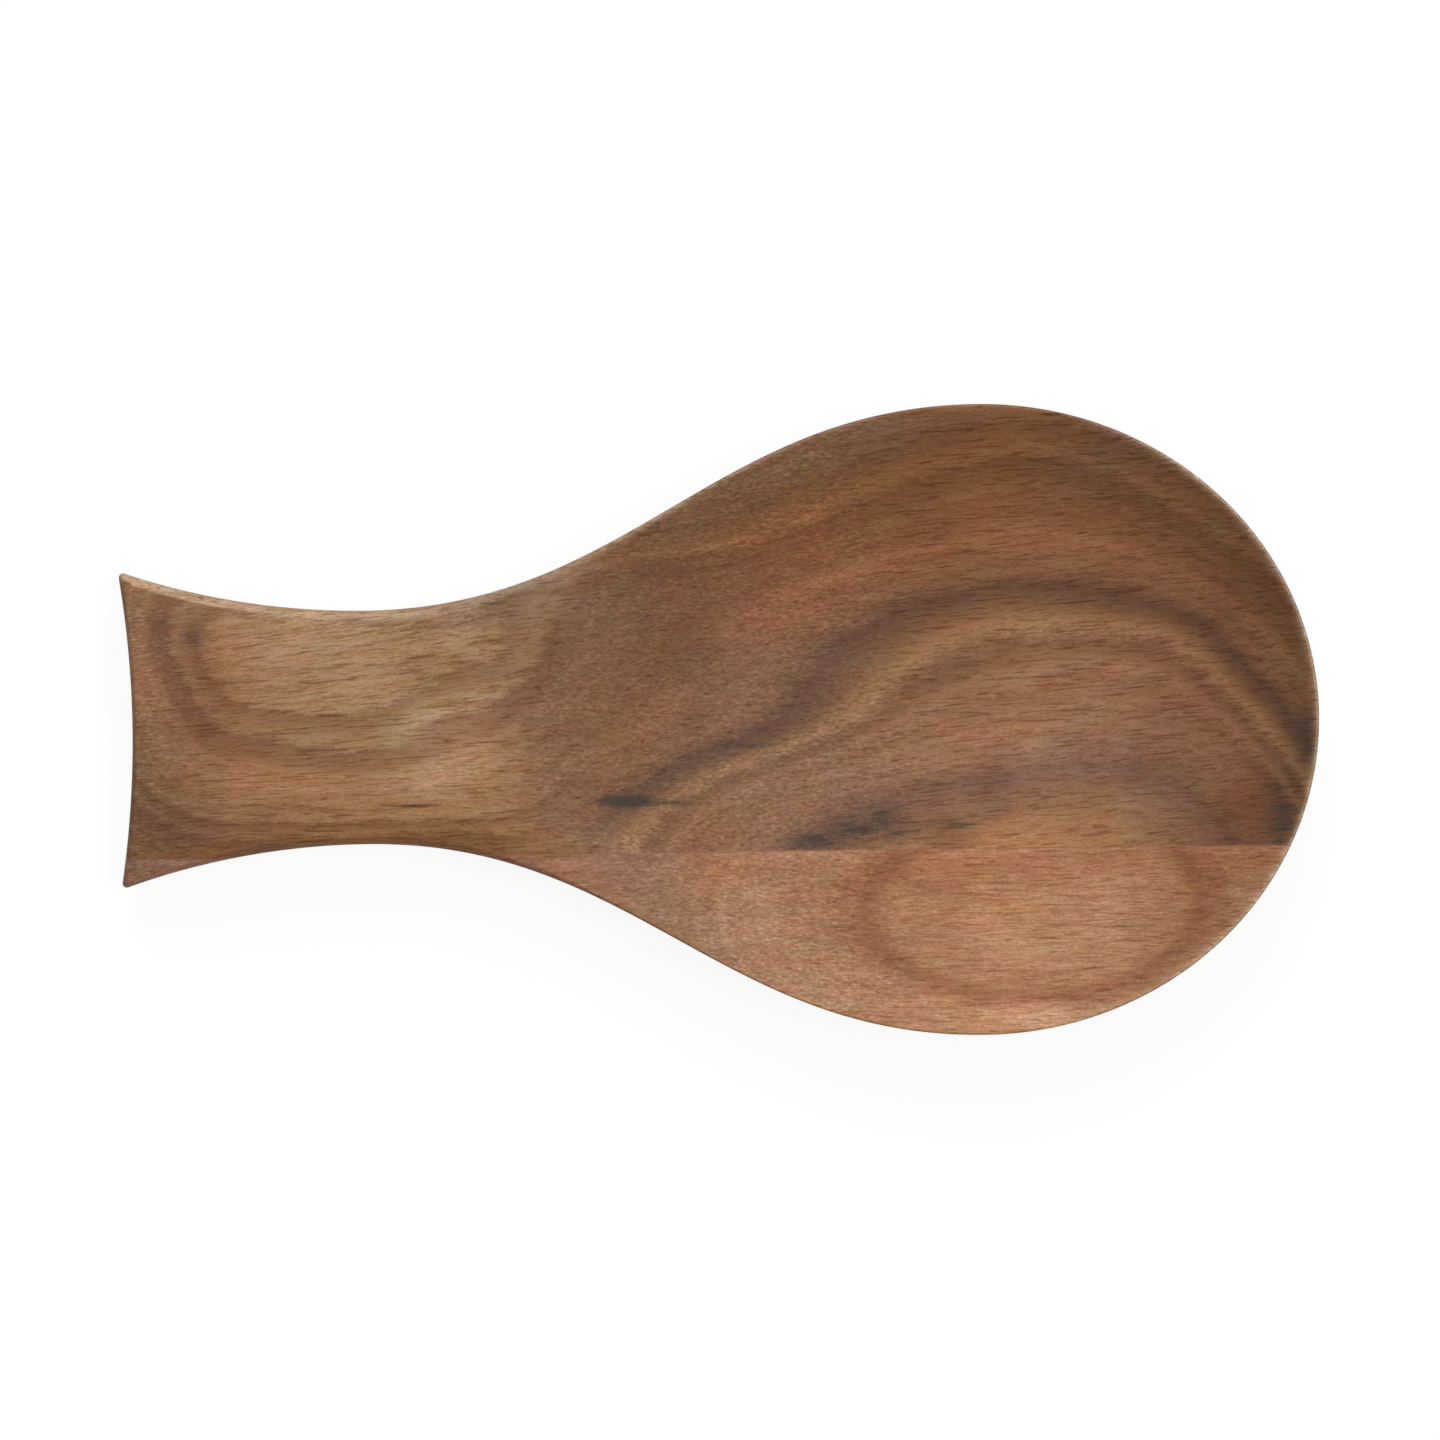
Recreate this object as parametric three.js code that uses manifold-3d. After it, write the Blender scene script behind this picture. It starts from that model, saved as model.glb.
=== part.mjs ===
// Carved wooden spoon rest: a round dish with a handle that flares to a fish tail.
// It is sawn and carved from a board of two staves glued edge to edge. The neck is sawn in
// past the glue line, so the narrow stave survives as two pieces, at the bowl and at the tail.
// Millimetres, +Z up, bowl towards +X. X is measured from the bowl's centre, and the group
// at the end centres the part on its length.

import * as THREE from 'three';
import { mergeVertices } from 'three/addons/utils/BufferGeometryUtils.js';
import Module from 'manifold-3d';

const wasm = await Module();
wasm.setup();

// Outline, seen from above
const bowlHalfWidth = 63;
const roundEndLength = 67.5; // bowl centre to the tip of the round end
const shoulderLength = 123; // bowl centre to the neck
const bowlTangent = 52.8; // how far the shoulder curve keeps to the bowl's direction
const neckTangent = 53.7; // how far it keeps to the neck's direction
const neckHalfWidth = 23.4;
const tailLength = 49.7; // neck to the tail corner, before the corner is rounded
const tailFlareRadius = 148;
const tailEndRadius = 176;
const tailCornerRadius = 0.8;

// Carved top
const boardThickness = 20;
const dishDepth = 12.5;
const dishLip = 24.5; // neck to the crease where the dish begins
const dishOnset = 1.35; // 1 is a sharp crease, more is softer
const dishRunOut = 2; // how gently the slope runs out on the dish's floor
const sectionPower = 2.3; // 2 is a round section, more is flatter in the middle
const crownDrop = 3; // the handle's long edges lie this far below its ridge
const crownFade = 60; // neck to where the bowl's rim is level
const tailDrop = 4.5; // the tail's end lies this far below the ridge
const tailDropLength = 25;

// Edges and underside
const rimEase = 0.6; // width of the sanded edge round the bowl
const handleEase = 2.2; // the same along the handle
const easeFade = 26; // neck to where the bowl's narrow edge begins
const easeAngle = 38; // degrees that the sanded edge slopes down
const bowlUndercut = 14; // rim to the flat base, seen from above
const handleUndercut = 6;

// Glued joint
const glueOffset = 25.9; // long axis to the middle of the glue line
const glueThickness = 0.2;

// Facets: steps along each stretch of half the outline, and rings over the surface
const roundEndSteps = 18;
const shoulderSteps = 26;
const flareSteps = 10;
const cornerSteps = 2;
const tailEndSteps = 6;
const topRings = 12;
const wallRings = 7;

const { clamp, lerp, smoothstep, degToRad } = THREE.MathUtils;

const neckX = -shoulderLength;
const tailX = neckX - tailLength;
const lipX = neckX + dishLip;
const spineStart = tailX + tailDropLength;

// Half-width of the flared tail: an arc that leaves the neck in line with it
function flareHalfWidth(x) {
  return neckHalfWidth + tailFlareRadius - Math.sqrt(tailFlareRadius ** 2 - (x - neckX) ** 2);
}

// Centres of the flare, of the hollow tail end and of the small round that joins them
const flareCentre = new THREE.Vector2(neckX, neckHalfWidth + tailFlareRadius);
const tailEndDepth = Math.sqrt(tailEndRadius ** 2 - flareHalfWidth(tailX) ** 2);
const tailEndCentre = new THREE.Vector2(tailX - tailEndDepth, 0);
const cornerCentre = touchingCentre(
  tailEndCentre,
  tailEndRadius + tailCornerRadius,
  flareCentre,
  tailFlareRadius + tailCornerRadius,
);

// The point at given distances from two centres, on the right of the line between them
function touchingCentre(first, firstDistance, second, secondDistance) {
  const line = second.clone().sub(first);
  const apart = line.length();
  line.normalize();
  const along = (firstDistance ** 2 - secondDistance ** 2 + apart ** 2) / (2 * apart);
  const aside = Math.sqrt(firstDistance ** 2 - along ** 2);
  const right = new THREE.Vector2(line.y, -line.x);
  return first.clone().addScaledVector(line, along).addScaledVector(right, aside);
}

function arc(centre, radius, from, to, clockwise) {
  const startAngle = from.clone().sub(centre).angle();
  const endAngle = to.clone().sub(centre).angle();
  return new THREE.EllipseCurve(
    centre.x, centre.y, radius, radius, startAngle, endAngle, clockwise,
  );
}

// Closed outline: from the tip round the far side to the tail, and back as its mirror image
function makeOutline() {
  const neck = new THREE.Vector2(neckX, neckHalfWidth);
  const tailMiddle = new THREE.Vector2(tailEndCentre.x + tailEndRadius, 0);
  const roundEnd = new THREE.EllipseCurve(0, 0, roundEndLength, bowlHalfWidth, 0, Math.PI / 2);
  const shoulder = new THREE.CubicBezierCurve(
    new THREE.Vector2(0, bowlHalfWidth),
    new THREE.Vector2(-bowlTangent, bowlHalfWidth),
    new THREE.Vector2(neckX + neckTangent, neckHalfWidth),
    neck,
  );
  const flare = arc(flareCentre, tailFlareRadius, neck, cornerCentre, true);
  const corner = arc(cornerCentre, tailCornerRadius, flareCentre, tailEndCentre, false);
  const tailEnd = arc(tailEndCentre, tailEndRadius, cornerCentre, tailMiddle, true);
  const stretches = [
    [roundEnd, roundEndSteps],
    [shoulder, shoulderSteps],
    [flare, flareSteps],
    [corner, cornerSteps],
    [tailEnd, tailEndSteps],
  ];
  const farSide = stretches.flatMap(([curve, steps]) => curve.getSpacedPoints(steps).slice(1));
  farSide.pop();
  const nearSide = farSide.map((point) => new THREE.Vector2(point.x, -point.y)).reverse();
  const tip = new THREE.Vector2(roundEndLength, 0);
  return [tip, ...farSide, tailMiddle, ...nearSide];
}

// 1 along the handle, easing to 0 over a distance past the neck
function handleShare(x, fade) {
  return 1 - smoothstep(x, neckX, neckX + fade);
}

function tailFall(x) {
  const past = Math.max(0, (spineStart - x) / tailDropLength);
  return tailDrop * past ** 2;
}

// Height along the long axis: level handle, drooping tail, and the slope down into the dish
function ridgeHeight(x) {
  const along = clamp((x - lipX) / -lipX, 0, 1);
  const dish = 1 - (1 - along ** dishOnset) ** dishRunOut;
  return boardThickness - dishDepth * dish - tailFall(x);
}

function rimHeight(x) {
  return boardThickness - crownDrop * handleShare(x, crownFade) - tailFall(x);
}

// Every point of the outline is carved along a ray from its foot on the long axis.
// The rays stand square to the axis, and fan out at the bowl's centre and at the tail.
function ray(edge) {
  const footX = clamp(edge.x, spineStart, 0);
  const reach = Math.hypot(edge.x - footX, edge.y);
  return { footX, reach };
}

// Top surface at a share of the ray: hollow across the bowl and crowned across the handle
function topPoint(edge, share) {
  const { footX } = ray(edge);
  const x = lerp(footX, edge.x, share);
  const y = edge.y * share;
  const across = x < spineStart ? Math.abs(y) / flareHalfWidth(x) : share;
  const z = lerp(ridgeHeight(x), rimHeight(x), across ** sectionPower);
  return new THREE.Vector3(x, y, z);
}

function easeWidth(edge) {
  return lerp(rimEase, handleEase, handleShare(edge.x, easeFade));
}

// Rim and wall: a quarter ellipse that starts upright at the rim and rolls under to the base
function wallPoint(edge, turn) {
  const { footX, reach } = ray(edge);
  const angle = turn * Math.PI / 2;
  const undercut = lerp(bowlUndercut, handleUndercut, handleShare(edge.x, crownFade));
  const share = 1 - undercut * (1 - Math.cos(angle)) / reach;
  const easeFall = easeWidth(edge) * Math.tan(degToRad(easeAngle));
  const rim = topPoint(edge, 1).z - easeFall;
  return new THREE.Vector3(lerp(footX, edge.x, share), edge.y * share, rim * (1 - Math.sin(angle)));
}

// Rings of points run out over the top, down the wall and in under the base to the axis
function makeRings(outline) {
  const rings = [];
  for (let ring = 0; ring <= topRings; ring++) {
    rings.push(outline.map((edge) => {
      const easedShare = 1 - easeWidth(edge) / ray(edge).reach;
      return topPoint(edge, easedShare * ring / topRings);
    }));
  }
  for (let ring = 0; ring <= wallRings; ring++) {
    rings.push(outline.map((edge) => wallPoint(edge, ring / wallRings)));
  }
  rings.push(outline.map((edge) => new THREE.Vector3(ray(edge).footX, 0, 0)));
  return rings;
}

// One closed skin over all rings. Points that meet on the axis are merged, and the faces
// that have lost their width there are left out.
function skin(rings) {
  const around = rings[0].length;
  const geometry = new THREE.BufferGeometry().setFromPoints(rings.flat());
  const faces = [];
  for (let ring = 0; ring + 1 < rings.length; ring++) {
    for (let i = 0; i < around; i++) {
      const next = (i + 1) % around;
      const inner = ring * around;
      const outer = inner + around;
      faces.push(inner + i, outer + i, outer + next);
      faces.push(inner + i, outer + next, inner + next);
    }
  }
  geometry.setIndex(faces);
  const merged = mergeVertices(geometry);
  const kept = [];
  for (let i = 0; i < merged.index.count; i += 3) {
    const [a, b, c] = merged.index.array.subarray(i, i + 3);
    if (a !== b && b !== c && c !== a) {
      kept.push(a, b, c);
    }
  }
  merged.setIndex(kept);
  return merged;
}

function toSolid(geometry) {
  return new wasm.Manifold(new wasm.Mesh({
    numProp: 3,
    vertProperties: new Float32Array(geometry.attributes.position.array),
    triVerts: new Uint32Array(geometry.index.array),
  }));
}

function toGeometry(solid) {
  const mesh = solid.getMesh();
  const geometry = new THREE.BufferGeometry();
  geometry.setAttribute('position', new THREE.BufferAttribute(mesh.vertProperties, 3));
  geometry.setIndex(new THREE.BufferAttribute(mesh.triVerts, 1));
  geometry.computeVertexNormals();
  return geometry;
}

// A block over the board's whole thickness, which the carved blank is cut to
function block(fromX, toX, fromY, toY) {
  const box = new THREE.BoxGeometry(toX - fromX, toY - fromY, 3 * boardThickness);
  box.translate((fromX + toX) / 2, (fromY + toY) / 2, 0);
  box.deleteAttribute('normal');
  box.deleteAttribute('uv');
  return toSolid(mergeVertices(box));
}

const wideStaveWood = new THREE.MeshStandardMaterial({ color: 0x865f45, roughness: 0.55, metalness: 0 });
const narrowStaveWood = new THREE.MeshStandardMaterial({ color: 0xa57658, roughness: 0.55, metalness: 0 });
const curedGlue = new THREE.MeshStandardMaterial({ color: 0x5e3f2b, roughness: 0.5, metalness: 0 });

const blank = toSolid(skin(makeRings(makeOutline())));
const glueFar = -glueOffset + glueThickness / 2;
const glueNear = -glueOffset - glueThickness / 2;
const farSide = 2 * bowlHalfWidth;
const nearSide = -farSide;
const tipSide = 2 * roundEndLength;
const tailSide = 2 * tailX;

// The staves and the glue between them, with the narrow ones parted at the neck
const pieces = [
  ['main_stave', wideStaveWood, block(tailSide, tipSide, glueFar, farSide)],
  ['side_stave_bowl', narrowStaveWood, block(neckX, tipSide, nearSide, glueNear)],
  ['side_stave_tail', narrowStaveWood, block(tailSide, neckX, nearSide, glueNear)],
  ['glue_line_bowl', curedGlue, block(neckX, tipSide, glueNear, glueFar)],
  ['glue_line_tail', curedGlue, block(tailSide, neckX, glueNear, glueFar)],
];

const spoonRest = new THREE.Group();
for (const [name, material, cut] of pieces) {
  const mesh = new THREE.Mesh(toGeometry(blank.intersect(cut)), material);
  mesh.name = name;
  spoonRest.add(mesh);
}

const tailReach = tailCornerRadius - cornerCentre.x;
spoonRest.position.x = (tailReach - roundEndLength) / 2;

export default spoonRest;
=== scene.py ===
import math

import bmesh
import bpy
import numpy as np
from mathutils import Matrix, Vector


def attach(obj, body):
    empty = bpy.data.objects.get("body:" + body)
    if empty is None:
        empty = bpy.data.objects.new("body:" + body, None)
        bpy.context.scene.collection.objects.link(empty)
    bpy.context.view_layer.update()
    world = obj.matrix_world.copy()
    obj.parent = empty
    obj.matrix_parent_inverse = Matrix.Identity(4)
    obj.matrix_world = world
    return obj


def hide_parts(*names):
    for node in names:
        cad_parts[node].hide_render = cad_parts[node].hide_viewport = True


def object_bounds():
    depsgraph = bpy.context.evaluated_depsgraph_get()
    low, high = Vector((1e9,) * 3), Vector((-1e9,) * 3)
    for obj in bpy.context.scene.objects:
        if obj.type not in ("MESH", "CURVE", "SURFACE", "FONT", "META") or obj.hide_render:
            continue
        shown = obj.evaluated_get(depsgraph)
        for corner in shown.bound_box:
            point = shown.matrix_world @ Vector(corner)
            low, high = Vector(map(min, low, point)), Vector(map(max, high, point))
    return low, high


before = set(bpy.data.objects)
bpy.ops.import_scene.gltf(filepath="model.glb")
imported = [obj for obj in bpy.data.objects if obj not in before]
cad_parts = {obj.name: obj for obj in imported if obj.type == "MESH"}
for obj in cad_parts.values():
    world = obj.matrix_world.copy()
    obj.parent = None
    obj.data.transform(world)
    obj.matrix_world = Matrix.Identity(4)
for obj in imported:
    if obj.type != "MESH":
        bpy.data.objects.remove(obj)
cadLow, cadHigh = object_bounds()  # the CAD model's box
print("stage: frame loaded, CAD box", list(cadLow), list(cadHigh))

# Carved spoon rest: a board of two acacia staves glued edge to edge, sawn to outline,
# dished at the round end, crowned along the handle, sanded and oiled.
# The shape is worked out in millimetres, with X measured from the bowl's centre.
# Metres are made at the end, in the row frame.
mmPerMetre = 1000
mergeDistance = 1e-7  # metres; points nearer than this are one

blank = {
    # outline, seen from above
    "bowlHalfWidth": 63.0,
    "roundEndLength": 67.5,  # bowl centre to the tip of the round end
    "shoulderLength": 123.0,  # bowl centre to the neck
    "bowlTangent": 52.8,  # the shoulder curve's pull along the axis, at the bowl and at the neck
    "neckTangent": 53.7,
    "neckHalfWidth": 23.4,
    "tailLength": 49.7,
    "tailFlareRadius": 148.0,
    "tailEndRadius": 176.0,  # of the hollow end
    "tailCornerRadius": 0.8,
    # carved top
    "thickness": 20.0,
    "dishDepth": 12.5,
    "dishLip": 24.5,  # neck to the crease where the dish begins
    "dishOnset": 1.35,  # 1 is a sharp crease, more is softer
    "dishRunOut": 2.0,  # how gently the slope runs out on the dish's floor
    "sectionPower": 2.3,  # 2 is a round section, more is flatter in the middle
    "crownDrop": 3.0,  # the handle's long edges lie this far below its ridge
    "crownFade": 60.0,  # neck to where the bowl's rim is level
    "tailDrop": 4.5,  # the tail's end lies this far below the ridge
    "tailDropLength": 25.0,
    # edges and underside
    "rimEase": 0.6,  # width of the sanded edge round the bowl
    "neckEase": (2.0, 1.5),  # far side and near side
    "tailEase": (2.0, 1.5),
    "endEase": 0.8,  # on the hollow end
    "easeFade": 60.0,  # neck to where the edge is as narrow as round the bowl
    "tailEaseReach": 30.0,  # neck to where the edge is as wide as at the tail
    "endEaseReach": 2.2,  # corner to where the hollow end has its own width
    "easeAngle": 44.0,  # degrees that the sanded edge slopes down
    "facetRound": 0.45,  # 1 is a full round, less is a flatter facet
    "slantLimit": 0.5,  # sine of the flattest angle at which a ray is taken to meet the outline
    "bowlUndercut": 14.0,  # rim to the flat base, seen from above
    "handleUndercut": 6.0,
    # where the edge is painted pale: round the tip as wear, and along the far side of the handle, which
    # faces the light, as wear with a painted highlight
    "wornAndSheenFarSide": (-8.0, 8.0),
    "wornAndSheenAlong": ((-150.0, -105.0, -70.0, -30.0), (1.0, 0.65, 0.95, 0.0)),  # places and how far
    "wornTip": (15.0, 45.0),
    "wornAndSheenBelow": 0.12,  # share of the wall's turn over which the pale edge fades
    "wornAndSheenAbove": 0.6,  # how pale the rim of the top itself is painted
    "wornAndSheenInside": 1.2,  # width over which that fades
    "wornAndSheenSoft": (-152.0, -140.0),  # it begins here, past the tail's crisp edge
    # points along each stretch of half the outline, and rings over the surface
    "stretchSteps": (150, 170, 64, 6, 40),
    "topRings": 86,
    "easeRings": 6,
    "wallRings": 14,
}
neckX = -blank["shoulderLength"]
tailX = neckX - blank["tailLength"]
lipX = neckX + blank["dishLip"]
spineStart = tailX + blank["tailDropLength"]
bowlX = cadHigh.x * mmPerMetre - blank["roundEndLength"]  # the bowl's centre in the row frame


# 0 before the start, 1 after the end, and between them 3t^2 - 2t^3
def smoothRise(value, start, end):
    t = np.clip((value - start) / (end - start), 0, 1)
    return t * t * (3 - 2 * t)


# 1 along the handle, easing to 0 over a distance past the neck
def handleShare(x, fade):
    return 1 - smoothRise(x, neckX, neckX + fade)


# the tail droops with the square of the way past the start of the droop
def tailFall(x):
    return blank["tailDrop"] * np.maximum(0, (spineStart - x) / blank["tailDropLength"]) ** 2


# height on the long axis: the board's face, less a dish that falls as 1 - (1 - t^onset)^runOut
def ridgeHeight(x):
    along = np.clip((x - lipX) / -lipX, 0, 1)
    dish = 1 - (1 - along ** blank["dishOnset"]) ** blank["dishRunOut"]
    return blank["thickness"] - blank["dishDepth"] * dish - tailFall(x)


# height at the outline: level round the bowl, lower beside the crowned handle
def rimHeight(x):
    return blank["thickness"] - blank["crownDrop"] * handleShare(x, blank["crownFade"]) - tailFall(x)


# half-width of the flared tail: an arc that leaves the neck in line with it
def flareHalfWidth(x):
    past = np.minimum(x, neckX) - neckX
    radius = blank["tailFlareRadius"]
    return blank["neckHalfWidth"] + radius - np.sqrt(radius ** 2 - past ** 2)


# centres of the flare's arc, of the hollow end's arc and of the small round that joins them:
# the round touches both arcs, so its centre lies at known distances from theirs
def tailCentres():
    flare = np.array([neckX, blank["neckHalfWidth"] + blank["tailFlareRadius"]])
    endDepth = math.sqrt(blank["tailEndRadius"] ** 2 - float(flareHalfWidth(tailX)) ** 2)
    end = np.array([tailX - endDepth, 0.0])
    fromEnd = blank["tailEndRadius"] + blank["tailCornerRadius"]
    fromFlare = blank["tailFlareRadius"] + blank["tailCornerRadius"]
    line = flare - end
    apart = np.hypot(*line)
    line = line / apart
    along = (fromEnd ** 2 - fromFlare ** 2 + apart ** 2) / (2 * apart)
    aside = math.sqrt(fromEnd ** 2 - along ** 2)
    corner = end + line * along + np.array([line[1], -line[0]]) * aside
    return flare, end, corner


# the outline as x and y: an ellipse round the bowl, a cubic curve down the shoulder, an arc
# out to the tail, a small round at its corner and a hollow arc to the axis, then its mirror
def outlinePoints():
    roundSteps, shoulderSteps, flareSteps, cornerSteps, endSteps = blank["stretchSteps"]
    flareCentre, endCentre, corner = tailCentres()
    turn = np.linspace(0, math.pi / 2, roundSteps + 1)
    roundX = blank["roundEndLength"] * np.cos(turn)
    roundY = blank["bowlHalfWidth"] * np.sin(turn)
    roundEnd = np.stack([roundX, roundY], 1)
    t = np.linspace(0, 1, shoulderSteps + 1)[1:, None]
    hold = np.array([
        [0, blank["bowlHalfWidth"]],
        [-blank["bowlTangent"], blank["bowlHalfWidth"]],
        [neckX + blank["neckTangent"], blank["neckHalfWidth"]],
        [neckX, blank["neckHalfWidth"]],
    ])
    shoulder = (1 - t) ** 3 * hold[0] + 3 * (1 - t) ** 2 * t * hold[1]
    shoulder = shoulder + 3 * (1 - t) * t ** 2 * hold[2] + t ** 3 * hold[3]

    # points at even turns on a circle, without the first
    def arc(centre, radius, start, end, steps):
        turn = np.linspace(start, end, steps + 1)[1:, None]
        return centre + radius * np.concatenate([np.cos(turn), np.sin(turn)], 1)

    # direction from a centre to a target, as an angle from +X
    def bearing(centre, target):
        return math.atan2(target[1] - centre[1], target[0] - centre[0])

    toCorner = bearing(flareCentre, corner)
    flare = arc(flareCentre, blank["tailFlareRadius"], -math.pi / 2, toCorner, flareSteps)
    toFlare, toEnd = bearing(corner, flareCentre), bearing(corner, endCentre)
    cornerRound = arc(corner, blank["tailCornerRadius"], toFlare, toEnd % (2 * math.pi), cornerSteps)
    tailEnd = arc(endCentre, blank["tailEndRadius"], bearing(endCentre, corner), 0, endSteps)
    half = np.concatenate([roundEnd, shoulder, flare, cornerRound, tailEnd])
    half[-1, 1] = 0
    mirrored = half[-2:0:-1] * [1, -1]
    return np.concatenate([half, mirrored])


# the carved top at a share of the way from the long axis to the outline: the ridge's height
# plus the rise to the rim times share^power; where the tail droops the share is |y| / half-width
def carvedTop(edge, share):
    footX = np.clip(edge[:, 0], spineStart, 0)
    x = footX + (edge[:, 0] - footX) * share
    y = edge[:, 1] * share
    across = np.where(x < spineStart, np.abs(y) / flareHalfWidth(x), share)
    ridge = ridgeHeight(x)
    z = ridge + (rimHeight(x) - ridge) * across ** blank["sectionPower"]
    return np.stack([x, y, z], -1)


# 0 along the sides, and on the hollow end rising to 1 with the distance from the flare's arc
def endShare(edge):
    flare = tailCentres()[0]
    fromFlare = np.hypot(edge[:, 0] - flare[0], np.abs(edge[:, 1]) - flare[1]) - blank["tailFlareRadius"]
    return smoothRise(np.where(edge[:, 0] < neckX, fromFlare, 0), 0, blank["endEaseReach"])


# width of the sanded edge: narrow round the bowl, wider on the handle, where each side has its
# own width at neck and tail, and narrow again on the hollow end
def easeWidth(edge):
    x, y = edge.T
    neck = np.where(y > 0, *blank["neckEase"])
    tail = np.where(y > 0, *blank["tailEase"])
    handle = neck + (tail - neck) * smoothRise(neckX - x, 0, blank["tailEaseReach"])
    width = blank["rimEase"] + (handle - blank["rimEase"]) * handleShare(x, blank["easeFade"])
    return width + (blank["endEase"] - width) * endShare(edge)


# rings of points over the whole blank: out over the top, down the sanded edge on a conic
# with its corner at the unsanded arris, down a quarter ellipse to the flat base and in again;
# the inset of the sanded edge is its width over the sine of the angle of ray and outline
def blankRings(edge):
    footX = np.clip(edge[:, 0], spineStart, 0)
    ray = np.stack([edge[:, 0] - footX, edge[:, 1]], 1)
    reach = np.hypot(*ray.T)
    ahead = np.roll(edge, -1, 0) - np.roll(edge, 1, 0)
    square = (ray[:, 0] * ahead[:, 1] - ray[:, 1] * ahead[:, 0]) / reach / np.hypot(*ahead.T)
    ease = easeWidth(edge)
    easedShare = 1 - ease / np.maximum(square, blank["slantLimit"]) / reach
    top = carvedTop(edge, easedShare * np.linspace(0, 1, blank["topRings"] + 1)[:, None])

    arris = carvedTop(edge, np.ones(len(edge)))
    easeFall = ease * math.tan(math.radians(blank["easeAngle"]))
    rim = arris - np.stack([0 * ease, 0 * ease, easeFall], -1)
    t = np.linspace(0, 1, blank["easeRings"] + 1)[1:, None, None]
    pull = 2 * blank["facetRound"] * (1 - t) * t
    eased = ((1 - t) ** 2 * top[-1] + pull * arris + t ** 2 * rim) / ((1 - t) ** 2 + pull + t ** 2)

    turn = np.linspace(0, math.pi / 2, blank["wallRings"] + 1)[1:, None]
    handle = handleShare(edge[:, 0], blank["crownFade"])
    undercut = blank["bowlUndercut"] + (blank["handleUndercut"] - blank["bowlUndercut"]) * handle
    share = 1 - undercut * (1 - np.cos(turn)) / reach
    wallX = footX + (edge[:, 0] - footX) * share
    wallZ = rim[:, 2] * (1 - np.sin(turn))
    wall = np.stack([wallX, edge[:, 1] * share, wallZ], -1)
    base = np.stack([footX, 0 * footX, 0 * footX], -1)[None]
    return np.concatenate([top, eased, wall, base])


# how pale each point of each ring is painted, a smooth rise each way: rising over the rim of the top,
# full on the sanded edge, fading down the wall, and only on some stretches of the outline: round the
# tip as wear, and along the handle's far side, which faces the light, as wear with a painted highlight
def wornAndSheenRings(edge):
    x, y = edge.T
    # painted highlight with wear: the far side of the handle, which faces the light, is made pale; the
    # near side is not
    farHandleWornAndSheen = smoothRise(y, *blank["wornAndSheenFarSide"]) * np.interp(x, *blank["wornAndSheenAlong"])
    around = np.maximum(farHandleWornAndSheen * (1 - endShare(edge)), smoothRise(x, *blank["wornTip"]))
    reach = np.hypot(x - np.clip(x, spineStart, 0), y)
    inside = reach * np.linspace(1, 0, blank["topRings"] + 1)[:, None]
    above = 1 - smoothRise(inside, 0, blank["wornAndSheenInside"])
    above *= blank["wornAndSheenAbove"] * smoothRise(x, *blank["wornAndSheenSoft"])
    below = np.linspace(0, 1, blank["wallRings"] + 1)[1:]
    fade = 1 - smoothRise(below, 0, blank["wornAndSheenBelow"])
    down = np.concatenate([np.ones(blank["easeRings"]), fade, [0]])[:, None]
    return np.concatenate([above, down + 0 * x]) * around


# keeps a number or a vector for each point of a mesh
def storeMark(mesh, name, values):
    kind, field = ("FLOAT", "value") if values.ndim == 1 else ("FLOAT_VECTOR", "vector")
    mesh.attributes.new(name, kind, "POINT").data.foreach_set(field, values.ravel())


# quads between neighbouring rings; points that meet on the long axis are merged
def blankMesh():
    edge = outlinePoints()
    rings = blankRings(edge)
    ringCount, around = rings.shape[:2]
    points = (rings.reshape(-1, 3) + [bowlX, 0, 0]) / mmPerMetre
    points = np.clip(points, cadLow, cadHigh)
    here = np.arange(around)
    beside = (here + 1) % around
    inner = np.arange(ringCount - 1)[:, None] * around
    outer = inner + around
    quads = np.stack([inner + here, outer + here, outer + beside, inner + beside], -1)
    mesh = bpy.data.meshes.new("blank")
    mesh.from_pydata(points.tolist(), [], quads.reshape(-1, 4).tolist())
    # pale edge mark: wear round the tip, and wear with a painted highlight along the handle's far side
    storeMark(mesh, "wornAndSheen", wornAndSheenRings(edge).ravel())
    build = bmesh.new()
    build.from_mesh(mesh)
    bmesh.ops.remove_doubles(build, verts=build.verts, dist=mergeDistance)
    build.to_mesh(mesh)
    build.free()
    return mesh


blankSkin = blankMesh()
print("stage: blank carved,", len(blankSkin.vertices), "points")

joint = {
    "offset": 25.9,  # long axis to the middle of the glue line
    "thickness": 0.2,
}
glueFar = (-joint["offset"] + joint["thickness"] / 2) / mmPerMetre
glueNear = (-joint["offset"] - joint["thickness"] / 2) / mmPerMetre
neckPlane = (bowlX + neckX) / mmPerMetre
# saw cuts: the axis cut across, the place on it and the side that is kept
farOfGlue = (1, glueFar, 1)
nearOfGlue = (1, glueNear, -1)
withinGlue = [(1, glueNear, 1), (1, glueFar, -1)]
bowlSide = (0, neckPlane, 1)
tailSide = (0, neckPlane, -1)


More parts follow.
